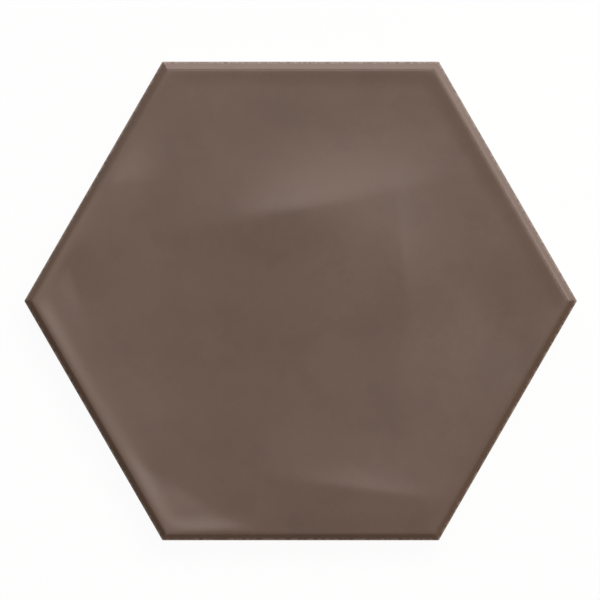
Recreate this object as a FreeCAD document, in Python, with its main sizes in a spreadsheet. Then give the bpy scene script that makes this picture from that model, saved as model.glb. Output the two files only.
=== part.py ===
# Hexagonal floor tile: one pressed, glazed and fired ceramic piece with a handmade-look face.
#
# The tile lies on its back. Its origin is the centre of the back plane, +Z points out of the glazed
# face, +X runs from corner to corner and +Y is square to two of the sides. Sizes are millimetres.

import FreeCAD, Part

import math
import os
from collections import namedtuple

import Sketcher
from FreeCAD import Vector

SIDES = 6
CORNER_ANGLE = 360.0 / SIDES

document = FreeCAD.newDocument("hexagon_floor_tile")


# Driving dimensions, each in a cell of its own with an alias

DIMENSIONS = [
    ("across_flats", 150.0, "between two parallel sides, at the widest line of the edge"),
    ("tile_thickness", 9.0, "from the back plane to the level of the rim"),
    ("bevel_width", 2.3, "plan width of the glazed bevel, before the face rolls over into it"),
    ("bevel_drop", 1.25, "fall of the glazed bevel from the rim level to the edge"),
    ("rim_round", 3.0, "radius that rolls the face over into the bevel"),
    ("corner_round", 0.5, "radius of the six upright corners of the edge"),
    ("edge_draft", 1.0, "degrees by which the unglazed edge leans in towards the back"),
    ("back_arris", 0.5, "width of the small chamfer round the back"),
    ("key_border", 8.0, "width of the plain band round the back"),
    ("key_depth", 0.8, "depth of the keying grooves"),
    ("key_pitch", 12.0, "spacing of the keying ribs"),
    ("key_rib_width", 4.0, "width of a keying rib on its crest"),
    ("key_draft", 30.0, "degrees by which the walls of a keying groove lean"),
    ("dish_depth", 0.12, "how far the plain face lies below the rim"),
    ("dish_fade", 3.0, "distance over which the face sinks from the rim to its own waves"),
    ("relief_width", 150.0, "tile width for which the waves are set out, stretched in plan to the tile's own"),
    ("relief_spacing", 2.5, "spacing of the points through which the wavy face is drawn"),
]

sheet = document.addObject("Spreadsheet::Sheet", "dimensions")
for row, (alias, size, note) in enumerate(DIMENSIONS, start=2):
    sheet.set(f"A{row}", alias)
    sheet.set(f"B{row}", str(size))
    sheet.set(f"C{row}", note)
    sheet.setAlias(f"B{row}", alias)
document.recompute()


def bind(target, prop, formula):
    """Binds a property to a formula. Names in braces stand for cells of the sheet."""
    cells = {alias: f"<<dimensions>>.{alias}" for alias, _, _ in DIMENSIONS}
    target.setExpression(prop, formula.format(**cells))


# Sketches in plan

def plan_sketch(body, name, height="0"):
    """An empty sketch in plan, at a height given as a formula."""
    sketch = body.newObject("Sketcher::SketchObject", name)
    plan = next(plane for plane in body.Origin.OriginFeatures if plane.Role == "XY_Plane")
    sketch.AttachmentSupport = (plan, [""])
    sketch.MapMode = "FlatFace"
    bind(sketch, "AttachmentOffset.Base.z", height)
    return sketch


def draw_hexagon(sketch, inset="0"):
    """The tile's regular hexagon, drawn in from its widest line by an inset given as a formula."""
    start = sheet.across_flats / 2
    corners = [
        Vector(start * math.cos(math.radians(angle)), start * math.sin(math.radians(angle)), 0)
        for angle in (CORNER_ANGLE * index for index in range(SIDES))
    ]
    circle = sketch.addGeometry(Part.Circle(Vector(), Vector(0, 0, 1), start), True)
    lines = [
        sketch.addGeometry(Part.LineSegment(corner, corners[(index + 1) % SIDES]), False)
        for index, corner in enumerate(corners)
    ]
    sketch.addConstraint(Sketcher.Constraint("Coincident", circle, 3, -1, 1))
    for index, line in enumerate(lines):
        sketch.addConstraint(Sketcher.Constraint("Coincident", line, 2, lines[(index + 1) % SIDES], 1))
        sketch.addConstraint(Sketcher.Constraint("PointOnObject", line, 1, circle))
        if index:
            sketch.addConstraint(Sketcher.Constraint("Equal", lines[0], line))
    sketch.addConstraint(Sketcher.Constraint("PointOnObject", lines[0], 1, -1))
    radius = sketch.addConstraint(Sketcher.Constraint("Radius", circle, start))
    sketch.renameConstraint(radius, "corner_radius")
    bind(sketch, "Constraints.corner_radius", f"({{across_flats}} / 2 - ({inset})) / cos(30deg)")


def draw_bar(sketch, half_length, width, offset):
    """A rectangle along the sketch's horizontal axis. Its lower side lies below that axis by an offset."""
    corners = [Vector(-1, -1, 0), Vector(1, -1, 0), Vector(1, 1, 0), Vector(-1, 1, 0)]
    bottom, right, top, left = (
        sketch.addGeometry(Part.LineSegment(corner, corners[(index + 1) % 4]), False)
        for index, corner in enumerate(corners)
    )
    for line, following in ((bottom, right), (right, top), (top, left), (left, bottom)):
        sketch.addConstraint(Sketcher.Constraint("Coincident", line, 2, following, 1))
    for line in (bottom, top):
        sketch.addConstraint(Sketcher.Constraint("Horizontal", line))
    for line in (right, left):
        sketch.addConstraint(Sketcher.Constraint("Vertical", line))
    sizes = (
        ("reach_right", Sketcher.Constraint("DistanceX", -1, 1, right, 1, 1.0), half_length),
        ("reach_left", Sketcher.Constraint("DistanceX", left, 1, -1, 1, 1.0), half_length),
        ("bar_width", Sketcher.Constraint("DistanceY", right, 1, right, 2, 2.0), width),
        ("bar_offset", Sketcher.Constraint("DistanceY", bottom, 1, -1, 1, 1.0), offset),
    )
    for name, constraint, formula in sizes:
        index = sketch.addConstraint(constraint)
        sketch.renameConstraint(index, name)
        bind(sketch, f"Constraints.{name}", formula)


def edge_names(feature, wanted):
    """Names of the edges of a feature that pass a test."""
    return [f"Edge{number}" for number, found in enumerate(feature.Shape.Edges, start=1) if wanted(found)]


# The tile's blank: the unglazed edge, the bevels above it and the arris round the back

WALL_HEIGHT = "{tile_thickness} - {bevel_drop}"

tile = document.addObject("PartDesign::Body", "hexagon_tile")
tile.Label = "hexagon_tile"

widest_line = plan_sketch(tile, "widest_line", height=WALL_HEIGHT)
draw_hexagon(widest_line)

edge = tile.newObject("PartDesign::Pad", "edge")
edge.Profile = widest_line
edge.Reversed = True
bind(edge, "Length", WALL_HEIGHT)
bind(edge, "TaperAngle", "-{edge_draft}")

bevels = tile.newObject("PartDesign::Pad", "bevels")
bevels.Profile = widest_line
bind(bevels, "Length", "2 * {bevel_drop}")
bind(bevels, "TaperAngle", "-atan({bevel_width} / {bevel_drop})")
document.recompute()


def is_back_outline(found):
    """True for the six edges round the back plane."""
    return found.BoundBox.ZMax < sheet.back_arris / 2


arris = tile.newObject("PartDesign::Chamfer", "arris")
arris.Base = (bevels, edge_names(bevels, is_back_outline))
bind(arris, "Size", "{back_arris}")
document.recompute()


# The keying grooves pressed into the back: a shallow hexagonal panel parted by straight ribs

grooves = document.addObject("PartDesign::Body", "keying_grooves")

BACK_INSET = "({tile_thickness} - {bevel_drop}) * tan({edge_draft} * 1deg)"
panel_outline = plan_sketch(grooves, "panel_outline")
draw_hexagon(panel_outline, inset=BACK_INSET + " + {key_border}")

panel = grooves.newObject("PartDesign::Pad", "panel")
panel.Profile = panel_outline
bind(panel, "Length", "{key_depth}")
bind(panel, "TaperAngle", "-{key_draft}")

RIBS_EACH_SIDE = "floor(({across_flats} / 2 - {key_border}) / {key_pitch})"

FIRST_RIB_OFFSET = RIBS_EACH_SIDE + " * {key_pitch} + {key_rib_width} / 2"

rib_outline = plan_sketch(grooves, "rib_outline")
draw_bar(rib_outline, "{across_flats}", "{key_rib_width}", FIRST_RIB_OFFSET)

rib = grooves.newObject("PartDesign::Pocket", "rib")
rib.Profile = rib_outline
rib.Reversed = True
bind(rib, "Length", "{key_depth}")
bind(rib, "TaperAngle", "{key_draft}")

ribs = grooves.newObject("PartDesign::LinearPattern", "ribs")
ribs.Originals = [rib]
ribs.Direction = (rib_outline, ["V_Axis"])
bind(ribs, "Length", "2 * " + RIBS_EACH_SIDE + " * {key_pitch}")
bind(ribs, "Occurrences", "2 * " + RIBS_EACH_SIDE + " + 1")
grooves.Tip = ribs
document.recompute()

keying = tile.newObject("PartDesign::Boolean", "keying")
keying.setObjects([grooves])
keying.Type = "Cut"
document.recompute()


# The wavy face: long low ridges and hollows of the clay, with a slope of their own on each side

Swell = namedtuple("Swell", "x y bearing half_length left_slope right_slope crest rise")

SWELLS = {
    "upper ridge": Swell(5, 31, 8, 25, 12, 22, 2.5, 0.76),
    "top hollow": Swell(6, 57, 2, 36, 12, 16, 8.0, -0.26),
    "upper ridge foot": Swell(32, 21, -80, 13, 7, 24, 2.0, 0.40),
    "hollow under the ridge": Swell(-14, 8, 10, 14, 10, 14, 4.0, -0.12),
    "lower crease": Swell(23, -57, -8, 20, 7, 10, 1.5, 0.46),
    "upper left shoulder": Swell(-56, 36, 5, 13, 18, 40, 2.0, 0.64),
    "left side hollow": Swell(-48, -24, -60, 34, 26, 26, 20.0, -0.24),
    "left corner hollow": Swell(-70, 4, -72, 15, 20, 7, 4.0, -0.60),
    "bottom left hollow": Swell(-33, -59, -32, 13, 20, 8, 4.0, -0.48),
    "middle right swell": Swell(20, -26, 5, 24, 18, 22, 10.0, 0.10),
    "right hollow": Swell(32, -4, -60, 30, 30, 26, 16.0, -0.32),
    "right corner hollow": Swell(59, 2, -62, 24, 11, 16, 8.0, -0.32),
}


def swell_height(swell, x, y):
    """Height of a swell above the plain face: a rounded crest, or floor, that fades on each side."""
    bearing = math.radians(swell.bearing)
    along = (x - swell.x) * math.cos(bearing) + (y - swell.y) * math.sin(bearing)
    across = (y - swell.y) * math.cos(bearing) - (x - swell.x) * math.sin(bearing)
    slope = swell.left_slope if across > 0 else swell.right_slope
    fall = (math.hypot(across, swell.crest) - swell.crest) / slope
    return swell.rise * math.exp(-((along / swell.half_length) ** 2) - fall)


def sunk(x, y):
    """0 where the face meets a bevel, rising to 1 over the body of the face."""
    share = 1.0
    for side in range(SIDES):
        facing = math.radians(CORNER_ANGLE * (side + 0.5))
        inside = sheet.across_flats / 2 - x * math.cos(facing) - y * math.sin(facing) - sheet.bevel_width
        share *= 1 - math.exp(-((max(0.0, inside) / sheet.dish_fade) ** 2))
    return share


def face_height(x, y):
    """Height of the glazed face above the back plane: the level rim, the dish and the swells."""
    stretch = sheet.across_flats / sheet.relief_width
    swells = sum(swell_height(swell, x / stretch, y / stretch) for swell in SWELLS.values())
    return sheet.tile_thickness + sunk(x, y) * (swells - sheet.dish_depth)


def spaced(reach, spacing):
    """Evenly spaced coordinates from -reach to reach, no further apart than the spacing."""
    steps = math.ceil(2 * reach / spacing)
    return [reach * (2 * step / steps - 1) for step in range(steps + 1)]


side_reach = sheet.across_flats / 2 + sheet.relief_spacing
corner_reach = sheet.across_flats / 2 / math.cos(math.radians(CORNER_ANGLE / 2)) + sheet.relief_spacing
wavy_face = Part.BSplineSurface()
wavy_face.interpolate([
    [Vector(x, y, face_height(x, y)) for y in spaced(side_reach, sheet.relief_spacing)]
    for x in spaced(corner_reach, sheet.relief_spacing)
])

room_above = document.addObject("Part::Feature", "room_above_face")
room_above.Shape = Part.Face(wavy_face).extrude(Vector(0, 0, sheet.tile_thickness))

face = tile.newObject("PartDesign::Boolean", "face")
face.setObjects([room_above])
face.Type = "Cut"
document.recompute()


# Roundings: the rim where the face meets the bevels, then the upright corners of the edge

def is_rim(found):
    """True for the six edges where the wavy face meets a bevel."""
    return found.BoundBox.ZMin > sheet.tile_thickness - sheet.bevel_drop / 2


def is_upright_corner(found):
    """True for the six edges that run up a corner from the arris to the widest line."""
    wall = sheet.tile_thickness - sheet.bevel_drop - sheet.back_arris
    return found.BoundBox.ZLength > wall / 2


rim = tile.newObject("PartDesign::Fillet", "rim")
rim.Base = (face, edge_names(face, is_rim))
bind(rim, "Radius", "{rim_round}")
document.recompute()

corners = tile.newObject("PartDesign::Fillet", "corners")
corners.Base = (rim, edge_names(rim, is_upright_corner))
bind(corners, "Radius", "{corner_round}")
document.recompute()


# The finished tile

for item in document.Objects:
    if {"Invalid", "Error"} & set(item.State):
        raise RuntimeError(f"{item.Name} failed: {item.State}")

finished = tile.Shape
if finished.isNull() or not finished.isValid() or len(finished.Solids) != 1:
    raise RuntimeError("the tile isn't one valid solid")

os.makedirs("parts", exist_ok=True)
finished.exportStep(f"parts/{tile.Label}.step")
print(f"{tile.Label}: {finished.Volume / 1000:.1f} cm3, {len(finished.Faces)} faces")
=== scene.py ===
import math
import bmesh
import bpy
from collections import namedtuple
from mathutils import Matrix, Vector


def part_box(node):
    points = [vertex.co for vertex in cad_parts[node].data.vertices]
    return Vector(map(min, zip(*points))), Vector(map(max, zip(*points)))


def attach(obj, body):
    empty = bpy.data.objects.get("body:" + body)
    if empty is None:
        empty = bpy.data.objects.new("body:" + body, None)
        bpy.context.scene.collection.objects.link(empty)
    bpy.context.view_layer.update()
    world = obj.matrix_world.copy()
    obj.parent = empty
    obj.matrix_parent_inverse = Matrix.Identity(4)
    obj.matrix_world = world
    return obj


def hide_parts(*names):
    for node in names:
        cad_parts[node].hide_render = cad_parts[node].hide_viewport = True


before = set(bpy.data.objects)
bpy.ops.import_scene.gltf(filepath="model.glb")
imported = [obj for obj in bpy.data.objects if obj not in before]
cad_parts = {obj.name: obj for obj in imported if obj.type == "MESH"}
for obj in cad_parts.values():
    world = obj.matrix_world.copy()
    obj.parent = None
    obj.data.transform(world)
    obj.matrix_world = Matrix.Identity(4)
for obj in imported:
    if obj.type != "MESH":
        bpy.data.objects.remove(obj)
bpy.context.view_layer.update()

# The tile. It is one piece of clay, pressed in a die that gives it crisp sides, a ribbed back and the
# low uneven waves of a hand-finished master. Face and bevels are glazed satin brown before it is fired,
# and the edge and back stay bare buff clay. Its lengths are millimetres, made metres at the points.

MM = 0.001
SIDES = 6
CORNER_ANGLE = math.radians(60)

tile_low, tile_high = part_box("hexagon_tile")
APOTHEM = (tile_high[1] - tile_low[1]) / MM / 2
RIM_LEVEL = 9.0
BEVEL_WIDTH = 2.3
BEVEL_DROP = 1.25
RIM_ROUND = 3.0
CORNER_ROUND = 0.5
EDGE_DRAFT = math.radians(1.0)
DISH_DEPTH = 0.12
DISH_FADE = 3.0
WIDEST_LEVEL = RIM_LEVEL - BEVEL_DROP
BEVEL_SLOPE = math.atan2(BEVEL_DROP, BEVEL_WIDTH)
RIM_END = BEVEL_WIDTH + RIM_ROUND * math.tan(BEVEL_SLOPE / 2)

# A swell's bearing is in degrees from +X, and left and right are as seen along it.
Swell = namedtuple("Swell", "x y bearing half_length left_reach right_reach crest_round rise")

SWELLS = {
    "upper ridge": Swell(1, 27.9, 12, 32, 8.6, 70, 4.5, 0.78),
    "top hollow": Swell(14, 53, 4, 34, 10, 16, 8.0, -0.16),
    "upper ridge foot": Swell(31.5, 12, -86, 20, 7.5, 30, 1.2, 0.31),
    "hollow under the ridge": Swell(-14, 6, 10, 14, 10, 14, 4.0, -0.06),
    "lower crease": Swell(18.5, -59.3, -7.5, 21, 7, 10, 1.5, 0.43),
    "upper left shoulder": Swell(-63, 36, 5, 16, 15, 80, 2.0, 0.54),
    "left side hollow": Swell(-46, -23, -60, 34, 45, 17, 8.0, -0.44),
    "left corner hollow": Swell(-71.5, 11, -74, 19, 28, 5.2, 4.0, -0.52),
    "bottom left hollow": Swell(-34, -59.8, -32, 18, 60, 5.5, 4.0, -0.34),
    "lower middle swell": Swell(-14, -51, 12, 16, 16, 40, 8.0, 0.18),
    "right hollow": Swell(36, -6, -60, 30, 30, 26, 16.0, -0.16),
    "right corner hollow": Swell(62, -7, -62, 26, 11, 16, 6.0, -0.26),
}


def swell_height(swell, x, y):
    """Height of a swell above the plain face: a round crest that falls away over its reach on each side."""
    bearing = math.radians(swell.bearing)
    along = (x - swell.x) * math.cos(bearing) + (y - swell.y) * math.sin(bearing)
    across = (y - swell.y) * math.cos(bearing) - (x - swell.x) * math.sin(bearing)
    reach = swell.left_reach if across > 0 else swell.right_reach
    fall = (math.hypot(across, swell.crest_round) - swell.crest_round) / reach
    return swell.rise * math.exp(-((along / swell.half_length) ** 2) - fall)


def sunk(x, y):
    """0 where the face meets a bevel, rising to 1 over the body of the face."""
    share = 1.0
    for side in range(SIDES):
        facing = CORNER_ANGLE * (side + 0.5)
        inside = APOTHEM - x * math.cos(facing) - y * math.sin(facing) - BEVEL_WIDTH
        share *= 1 - math.exp(-((max(0.0, inside) / DISH_FADE) ** 2))
    return share


def face_height(x, y):
    """Height of the glazed face above the back plane: the level rim, the dish and the swells."""
    swells = sum(swell_height(swell, x, y) for swell in SWELLS.values())
    return RIM_LEVEL + sunk(x, y) * (swells - DISH_DEPTH)


def bevel_height(inset):
    """Height of the bevel and of the rim rolled over from it, at an inset from the widest line."""
    roll_start = RIM_END - RIM_ROUND * math.sin(BEVEL_SLOPE)
    if inset < roll_start:
        return WIDEST_LEVEL + inset * math.tan(BEVEL_SLOPE)
    return RIM_LEVEL - RIM_ROUND + math.sqrt(RIM_ROUND**2 - max(0.0, RIM_END - inset) ** 2)


def rolled_height(inset):
    """Height round the rim as a function of the point: the bevel's, with the start of the face's waves."""
    return lambda x, y: bevel_height(inset) + face_height(x, y) - RIM_LEVEL


def around(centre, reach, angle):
    """The point at a reach and an angle from a centre."""
    return centre[0] + reach * math.cos(angle), centre[1] + reach * math.sin(angle)


def between(start, end, share):
    """The point that lies a share of the way from one point to another."""
    return tuple(a + (b - a) * share for a, b in zip(start, end))


FACE_STEPS = 90
CORNER_STEPS = 6


def rounded_hexagon(inset):
    """Points of the tile's outline at an inset, its corners rounded, from the corner at +X round."""
    pivot_reach = (APOTHEM - inset - CORNER_ROUND) / math.cos(CORNER_ANGLE / 2)
    points = []
    for corner in range(SIDES):
        towards = CORNER_ANGLE * corner
        pivots = [around((0, 0), pivot_reach, CORNER_ANGLE * turned) for turned in (corner, corner + 1)]
        for step in range(CORNER_STEPS):
            angle = towards - CORNER_ANGLE / 2 + CORNER_ANGLE * step / CORNER_STEPS
            points.append(around(pivots[0], CORNER_ROUND, angle))
        start, end = [around(pivot, CORNER_ROUND, towards + CORNER_ANGLE / 2) for pivot in pivots]
        points += [between(start, end, step / FACE_STEPS) for step in range(FACE_STEPS)]
    return points


def ring(mesh, points, height):
    """A closed ring of vertices. The height is a number, or a function of the point."""
    rise = height if callable(height) else lambda x, y: height
    return [mesh.verts.new((x * MM, y * MM, rise(x, y) * MM)) for x, y in points]


def join_rings(mesh, low, high):
    """Quads between two rings with equal numbers of vertices."""
    for index in range(len(low)):
        following = (index + 1) % len(low)
        mesh.faces.new((low[index], low[following], high[following], high[index]))


# Where the tile's section has its rings of points: round the two arrises, up the wall and over the rim.
BACK_INSET = WIDEST_LEVEL * math.tan(EDGE_DRAFT)
BACK_ARRIS = 0.5
BACK_ARRIS_MIDDLE = 0.15
WALL_STEPS = 7
TOP_ARRIS_START = 0.15
TOP_ARRIS_MIDDLE = 0.03
TOP_ARRIS_END = 0.12
BEVEL_RINGS = (0.3, 0.55, 0.8, 1.05, 1.3, 1.55)
ROLL_SPACING = 0.142
ROLL_STEPS = 10
FACE_RINGS = (3.9, 4.5)


def edge_and_rim():
    """The tile's section as insets and heights, from the back plane up the edge and over the rim."""
    yield BACK_INSET + BACK_ARRIS, 0.0
    yield BACK_INSET + BACK_ARRIS_MIDDLE, BACK_ARRIS_MIDDLE
    wall_top = WIDEST_LEVEL - TOP_ARRIS_START
    for step in range(WALL_STEPS + 1):
        level = BACK_ARRIS + (wall_top - BACK_ARRIS) * step / WALL_STEPS
        yield (WIDEST_LEVEL - level) * math.tan(EDGE_DRAFT), level
    yield TOP_ARRIS_MIDDLE, WIDEST_LEVEL - TOP_ARRIS_MIDDLE
    yield TOP_ARRIS_END, bevel_height(TOP_ARRIS_END)
    for inset in BEVEL_RINGS:
        yield inset, rolled_height(inset)
    for step in reversed(range(ROLL_STEPS + 1)):
        inset = RIM_END - ROLL_SPACING * step
        yield inset, rolled_height(inset)
    for inset in FACE_RINGS:
        yield inset, face_height


FACE_INSET = 5.0


def lattice_ring(step):
    """Points of one hexagonal ring of the face's triangular lattice."""
    if step == 0:
        return [(0.0, 0.0)]
    reach = (APOTHEM - FACE_INSET) / math.cos(CORNER_ANGLE / 2) * step / FACE_STEPS
    corners = [around((0, 0), reach, CORNER_ANGLE * corner) for corner in range(SIDES + 1)]
    return [
        between(corners[side], corners[side + 1], along / step)
        for side in range(SIDES)
        for along in range(step)
    ]


def fill_face(mesh, rings):
    """Even triangles between each ring of the lattice and the next one out."""
    for step in range(1, len(rings)):
        inner, outer = rings[step - 1], rings[step]
        for side in range(SIDES):
            for along in range(step):
                a = outer[side * step + along]
                b = outer[(side * step + along + 1) % len(outer)]
                c = inner[(side * (step - 1) + along) % len(inner)]
                mesh.faces.new((a, b, c))
                if along:
                    d = inner[side * (step - 1) + along - 1]
                    mesh.faces.new((a, c, d))


def heading_of(vertex):
    """A vertex's angle round the centre, from 0 at +X to a full turn."""
    return math.atan2(vertex.co.y, vertex.co.x) % (2 * math.pi)


def zip_rings(mesh, outer, inner):
    """Triangles between two rings with unequal numbers of vertices, taken in step round the centre."""
    rings = [sorted(vertices, key=heading_of) for vertices in (outer, inner)]
    turns = [(heading_of(vertex), which) for which in (0, 1) for vertex in rings[which][1:]]
    turns += [(2 * math.pi, which) for which in (0, 1)]
    reached = [0, 0]
    for _, which in sorted(turns):
        a, b = [rings[side][reached[side] % len(rings[side])] for side in (0, 1)]
        reached[which] += 1
        following = rings[which][reached[which] % len(rings[which])]
        mesh.faces.new((a, following, b))


KEY_BORDER = 8.0
KEY_DEPTH = 0.8
KEY_PITCH = 12.0
KEY_RIB_WIDTH = 4.0
KEY_DRAFT = math.radians(30)


def groove_corners(panel, bottom, top):
    """Corners of a strip across a hexagonal panel, between two levels of y."""
    corner_reach = panel / math.cos(CORNER_ANGLE / 2)
    return [
        (side * (corner_reach - abs(y) * math.tan(CORNER_ANGLE / 2)), y)
        for side, y in ((-1, bottom), (1, bottom), (1, top), (-1, top))
    ]


def groove_outlines():
    """The keying grooves, each as the corners of its mouth on the back plane and of its floor."""
    panel = APOTHEM - BACK_INSET - KEY_BORDER
    lean = KEY_DEPTH * math.tan(KEY_DRAFT)
    ribs_each_side = math.floor((APOTHEM - KEY_BORDER) / KEY_PITCH)
    crests = [KEY_PITCH * index for index in range(-ribs_each_side, ribs_each_side + 1)]
    lows = [-panel] + [crest + KEY_RIB_WIDTH / 2 for crest in crests]
    highs = [crest - KEY_RIB_WIDTH / 2 for crest in crests] + [panel]
    for low, high in zip(lows, highs):
        yield groove_corners(panel, low, high), groove_corners(panel - lean, low + lean, high - lean)


def edges_round(mesh, vertices):
    """The edges of a closed ring of vertices."""
    return [mesh.edges.get(pair) for pair in zip(vertices, vertices[1:] + vertices[:1])]


def press_back(mesh, outline):
    """The back plane with its keying grooves, closed onto the ring of the back's outline."""
    borders = edges_round(mesh, outline)
    for mouth_points, floor_points in groove_outlines():
        mouth = ring(mesh, mouth_points, 0.0)
        floor = ring(mesh, floor_points, KEY_DEPTH)
        join_rings(mesh, mouth, floor)
        mesh.faces.new(floor)
        borders += edges_round(mesh, mouth)
    bmesh.ops.triangle_fill(mesh, edges=borders, use_beauty=True, normal=(0, 0, -1))


SHARP_FOLD = math.radians(24)


def press_tile():
    """The whole tile as one closed mesh."""
    mesh = bmesh.new()
    rings = [ring(mesh, rounded_hexagon(inset), height) for inset, height in edge_and_rim()]
    for low, high in zip(rings, rings[1:]):
        join_rings(mesh, low, high)
    lattice = [ring(mesh, lattice_ring(step), face_height) for step in range(FACE_STEPS + 1)]
    fill_face(mesh, lattice)
    zip_rings(mesh, rings[-1], lattice[-1])
    press_back(mesh, rings[0])
    bmesh.ops.recalc_face_normals(mesh, faces=mesh.faces)
    for found in mesh.faces:
        found.smooth = True
    for found in mesh.edges:
        found.smooth = found.calc_face_angle(0.0) <= SHARP_FOLD
    data = bpy.data.meshes.new("pressed_tile")
    mesh.to_mesh(data)
    mesh.free()
    piece = bpy.data.objects.new("pressed_tile", data)
    bpy.context.scene.collection.objects.link(piece)
    return piece


class Shade:
    """A shader socket that can be used in sums, so that a finish reads as a formula."""

    def __init__(self, tree, socket=None):
        self.tree = tree
        self.socket = socket

    def node(self, kind, settings=None, sockets=None, output=0):
        """Adds a node: its settings first, then the values or links of its sockets."""
        made = self.tree.nodes.new(kind)
        for name, value in (settings or {}).items():
            setattr(made, name, value)
        for name, value in (sockets or {}).items():
            if isinstance(value, Shade):
                self.tree.links.new(value.socket, made.inputs[name])
            else:
                made.inputs[name].default_value = value
        return Shade(self.tree, made.outputs[output]) if made.outputs else None

    def maths(self, operation, *values):
        """Adds a Math node over values and Shades."""
        return self.node("ShaderNodeMath", {"operation": operation}, dict(enumerate(values)))

    def __add__(self, other):
        return self.maths("ADD", self, other)

    __radd__ = __add__

    def __sub__(self, other):
        return self.maths("SUBTRACT", self, other)

    def __rsub__(self, other):
        return self.maths("SUBTRACT", other, self)

    def __mul__(self, other):
        return self.maths("MULTIPLY", self, other)

    __rmul__ = __mul__

    def __abs__(self):
        return self.maths("ABSOLUTE", self)

    def within(self, low, high):
        """0 below the low value, 1 above the high one, and a smooth rise between."""
        settings = {"interpolation_type": "SMOOTHSTEP"}
        return self.node("ShaderNodeMapRange", settings, {"Value": self, "From Min": low, "From Max": high})

    def mixed(self, one, other):
        """One colour where this value is 0, the other where it is 1, by the Mix node's colour sockets."""
        return self.node("ShaderNodeMix", {"data_type": "RGBA"}, {0: self, 6: one, 7: other}, output=2)

    def split(self):
        """The x, y and z of this position."""
        parts = self.node("ShaderNodeSeparateXYZ", None, {0: self}).socket.node.outputs
        return [Shade(self.tree, part) for part in parts]

    def moved(self, x, y):
        """This position, moved so that another stretch of a noise falls on the tile."""
        return self.node("ShaderNodeVectorMath", {"operation": "ADD"}, {0: self, 1: (x, y, 0.0)})

    def cloud(self, size, detail=3.0, roughness=0.5):
        """Noise over this position, with lumps of about a size in metres."""
        sockets = {"Vector": self, "Scale": 1 / size, "Detail": detail, "Roughness": roughness}
        return self.node("ShaderNodeTexNoise", None, sockets)


def new_finish(name):
    """An empty material, and the position on its object as a Shade to build it from."""
    material = bpy.data.materials.new(name)
    material.use_nodes = True
    material.node_tree.nodes.clear()
    return material, Shade(material.node_tree).node("ShaderNodeTexCoord", output="Object")


GLAZE = (0.104, 0.0655, 0.0475, 1.0)
GLAZE_DARK = (0.0895, 0.0572, 0.0415, 1.0)
# Painted light: a lighter glaze colour for the left of the face, standing in for light falling there.
GLAZE_PAINTED_LIGHT = (0.123, 0.0825, 0.0622, 1.0)
GLAZE_THIN = (0.21, 0.168, 0.142, 1.0)
GLAZE_SHEEN = (1.0, 0.90, 0.88, 1.0)
CLAY = (0.55, 0.45, 0.35, 1.0)
CLAY_DARK = (0.43, 0.34, 0.26, 1.0)

GLAZE_ROUGHNESS = 0.17
MOTTLE_ROUGHNESS = 0.03
MOTTLE_SHIFT = (5.0, 4.5)
BLOTCH_SHIFT = (2.5, 4.5)

# Painted light: the glaze is lighter along the left sides of the face, standing in for light falling there.
# How far out to the left it starts and is fullest, how far up the upper left side it starts to fade and
# is gone, and the height over which it fades at the rim.
PAINTED_LIGHT_START = 54 * MM
PAINTED_LIGHT_FULL = 73 * MM
PAINTED_LIGHT_FADES_FROM = 20 * MM
PAINTED_LIGHT_GONE = 75 * MM
PAINTED_LIGHT_RIM_FADE = 0.4 * MM

# Heights between which the thin glaze gives way to its full body, and the line where the glaze ends.
THIN_END = (WIDEST_LEVEL + 0.15) * MM
BODY_START = (WIDEST_LEVEL + 0.45) * MM
NICK_DEPTH = 0.25 * MM
GLAZE_LINE = 5.9 * MM
GLAZE_RUN = 1.6 * MM
GLAZE_LIP = 0.08 * MM


def glaze_shader(place):
    """Mottled brown glaze, with painted light on the left of the face, thin over the turn into the edge."""
    x, y, height = place.split()
    mottle = place.moved(*MOTTLE_SHIFT).cloud(30 * MM, detail=4.0, roughness=0.55).within(0.35, 0.65)
    blotch = place.moved(*BLOTCH_SHIFT).cloud(13 * MM, detail=6.0, roughness=0.6).within(0.4, 0.5)
    speckle = place.cloud(1.2 * MM, detail=2.0).within(0.3, 0.75)
    mottled = (mottle * 0.4 + blotch * 0.4 + speckle * 0.2).mixed(GLAZE_DARK, GLAZE)

    leftward = abs(y) * math.cos(CORNER_ANGLE) - x * math.sin(CORNER_ANGLE)
    on_face = height.within(RIM_LEVEL * MM - PAINTED_LIGHT_RIM_FADE, RIM_LEVEL * MM)
    # Painted light along the left sides of the face, fading up the upper left side and at the rim.
    painted_light = leftward.within(PAINTED_LIGHT_START, PAINTED_LIGHT_FULL) * (1 - y.within(PAINTED_LIGHT_FADES_FROM, PAINTED_LIGHT_GONE)) * on_face
    nicks = place.cloud(1.1 * MM, detail=3.0, roughness=0.7).within(0.4, 0.62)
    bodied = (height + nicks * NICK_DEPTH).within(THIN_END, BODY_START)

    orange_peel = place.cloud(4 * MM, detail=2.0)
    return place.node("ShaderNodeBsdfPrincipled", None, {
        # The base colour carries painted light on the left of the face.
        "Base Color": bodied.mixed(GLAZE_THIN, painted_light.mixed(mottled, GLAZE_PAINTED_LIGHT)),
        "Roughness": mottle * MOTTLE_ROUGHNESS + GLAZE_ROUGHNESS,
        "Specular IOR Level": 0.33,
        "Specular Tint": GLAZE_SHEEN,
        "Normal": place.node("ShaderNodeBump", None, {
            "Strength": 0.12, "Distance": 0.1 * MM, "Height": orange_peel,
        }),
    })


def clay_shader(place):
    """Dry buff clay, faintly stained and grainy."""
    grain = place.cloud(0.8 * MM, detail=5.0, roughness=0.65)
    stain = place.cloud(20 * MM, detail=4.0).within(0.35, 0.7)
    return place.node("ShaderNodeBsdfPrincipled", None, {
        "Base Color": (stain * 0.6 + grain * 0.4).mixed(CLAY, CLAY_DARK),
        "Roughness": 0.9,
        "Specular IOR Level": 0.2,
        "Normal": place.node("ShaderNodeBump", None, {
            "Strength": 0.6, "Distance": 0.2 * MM, "Height": grain,
        }),
    })


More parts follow.
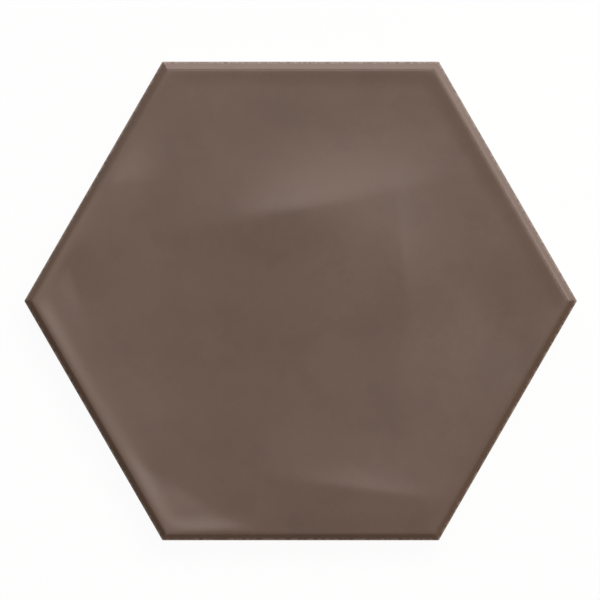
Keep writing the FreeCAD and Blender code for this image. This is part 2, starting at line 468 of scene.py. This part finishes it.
def fired_finish():
    """The glaze over the bare clay, ending in an uneven line part way down the edge."""
    material, place = new_finish("brown_glaze_on_buff_clay")
    height = place.split()[2]
    line = place.cloud(6 * MM, detail=3.0) * GLAZE_RUN + GLAZE_LINE
    glazed = (height - line).within(-GLAZE_LIP, GLAZE_LIP)
    shaders = {0: glazed, 1: clay_shader(place), 2: glaze_shader(place)}
    both = place.node("ShaderNodeMixShader", None, shaders)
    place.node("ShaderNodeOutputMaterial", None, {"Surface": both})
    return material


tile = press_tile()
tile.data.materials.append(fired_finish())
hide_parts("hexagon_tile")
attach(tile, "root")

# The studio, set out in metres. The tile lies on a plain white table, seen from straight above with a
# long lens. A large soft key lamp beyond its top edge and another high above bring out its waves, a
# weak fill lamp lights the near edges, and two dark cards keep the bevels opposite dark.

WHITE = (1.0, 1.0, 1.0, 1.0)
TABLE_GREY = (0.8, 0.8, 0.8, 1.0)
CARD_BLACK = (0.01, 0.01, 0.01, 1.0)
TABLE_SHOWN_WHITE = 0.95


def in_sight(start):
    """1 for what the camera sees, also reflected in the tile, and 0 for the light that falls on it."""
    rays = ("Is Camera Ray", "Is Glossy Ray", "Is Transmission Ray")
    camera, reflected, through = [start.node("ShaderNodeLightPath", output=ray) for ray in rays]
    return camera + reflected + through


def white_table():
    """A table that is white to the camera and in reflections, and keeps a faint shadow."""
    material, place = new_finish("white_table")
    white = place.node("ShaderNodeEmission", None, {"Color": WHITE, "Strength": 1.0})
    table = place.node("ShaderNodeBsdfDiffuse", None, {"Color": TABLE_GREY})
    shown = in_sight(place) * TABLE_SHOWN_WHITE
    mixed = place.node("ShaderNodeMixShader", None, {0: shown, 1: table, 2: white})
    place.node("ShaderNodeOutputMaterial", None, {"Surface": mixed})
    return material


def black_card():
    """The finish of the cards, matt and black."""
    material, place = new_finish("black_card")
    matt = place.node("ShaderNodeBsdfDiffuse", None, {"Color": CARD_BLACK})
    place.node("ShaderNodeOutputMaterial", None, {"Surface": matt})
    return material


def studio_sheet(name, width, depth, material):
    """A flat rectangle that belongs to the studio, lying at the origin."""
    corners = [(x * width / 2, y * depth / 2, 0.0) for x, y in ((-1, -1), (1, -1), (1, 1), (-1, 1))]
    data = bpy.data.meshes.new(name)
    data.from_pydata(corners, [], [(0, 1, 2, 3)])
    data.materials.append(material)
    sheet = bpy.data.objects.new(name, data)
    bpy.context.scene.collection.objects.link(sheet)
    return sheet


TABLE_WIDTH = 4.0
TABLE_GAP = 0.00002
table_top = studio_sheet("table_top", TABLE_WIDTH, TABLE_WIDTH, white_table())
table_top.location.z = -TABLE_GAP


def direction_to(bearing, elevation):
    """The direction from the tile to a bearing and an elevation in degrees."""
    turn, lift = math.radians(bearing), math.radians(elevation)
    return Vector((math.cos(turn) * math.cos(lift), math.sin(turn) * math.cos(lift), math.sin(lift)))


LAMP_COLOUR = (1.0, 0.96, 0.92)


def softbox(name, bearing, elevation, distance, width, depth, power):
    """A rectangular soft lamp, aimed at the tile."""
    data = bpy.data.lights.new(name, "AREA")
    data.shape = "RECTANGLE"
    data.size = width
    data.size_y = depth
    data.energy = power
    data.color = LAMP_COLOUR
    lamp = bpy.data.objects.new(name, data)
    bpy.context.scene.collection.objects.link(lamp)
    direction = direction_to(bearing, elevation)
    lamp.location = direction * distance
    lamp.rotation_euler = (-direction).to_track_quat("-Z", "Y").to_euler()
    lamp.visible_camera = False
    return lamp


softbox("key_lamp", bearing=64, elevation=45, distance=1.4, width=1.75, depth=1.0, power=27.5)
softbox("high_lamp", bearing=66, elevation=81.5, distance=8.0, width=3.0, depth=1.5, power=52)
fill_lamp = softbox("fill_lamp", bearing=302, elevation=14, distance=1.4, width=1.2, depth=0.35, power=6.6)
fill_lamp.visible_glossy = False

CARD_BEARINGS = (196, 300)
CARD_ELEVATION = 32
CARD_DISTANCE = 1.4
CARD_WIDTH = 1.9
CARD_DEPTH = 0.9

matt_black = black_card()
for bearing in CARD_BEARINGS:
    card = studio_sheet("dark_card", CARD_WIDTH, CARD_DEPTH, matt_black)
    direction = direction_to(bearing, CARD_ELEVATION)
    card.location = direction * CARD_DISTANCE
    card.rotation_euler = direction.to_track_quat("Z", "Y").to_euler()
    card.visible_camera = False
    card.visible_shadow = False

ROOM_LEVEL = 0.28

world = bpy.data.worlds.new("studio")
bpy.context.scene.world = world
world.use_nodes = True
world.node_tree.nodes.clear()
room = Shade(world.node_tree)
strength = in_sight(room) * (1 - ROOM_LEVEL) + ROOM_LEVEL
sky = room.node("ShaderNodeBackground", None, {"Color": WHITE, "Strength": strength})
room.node("ShaderNodeOutputWorld", None, {"Surface": sky})

# The camera's frame at the level of the tile's widest line, whose middle lies a little off the tile's.
FRAME_WIDTH = 0.188
FRAME_MIDDLE = (-0.00019, 0.00031)
LENS = 600.0
SENSOR = 36.0

camera_data = bpy.data.cameras.new("camera")
camera_data.lens = LENS
camera_data.sensor_width = SENSOR
camera = bpy.data.objects.new("camera", camera_data)
camera.location = (*FRAME_MIDDLE, WIDEST_LEVEL * MM + FRAME_WIDTH * LENS / SENSOR)
bpy.context.scene.collection.objects.link(camera)
bpy.context.scene.camera = camera
bpy.context.scene.view_settings.view_transform = "Standard"
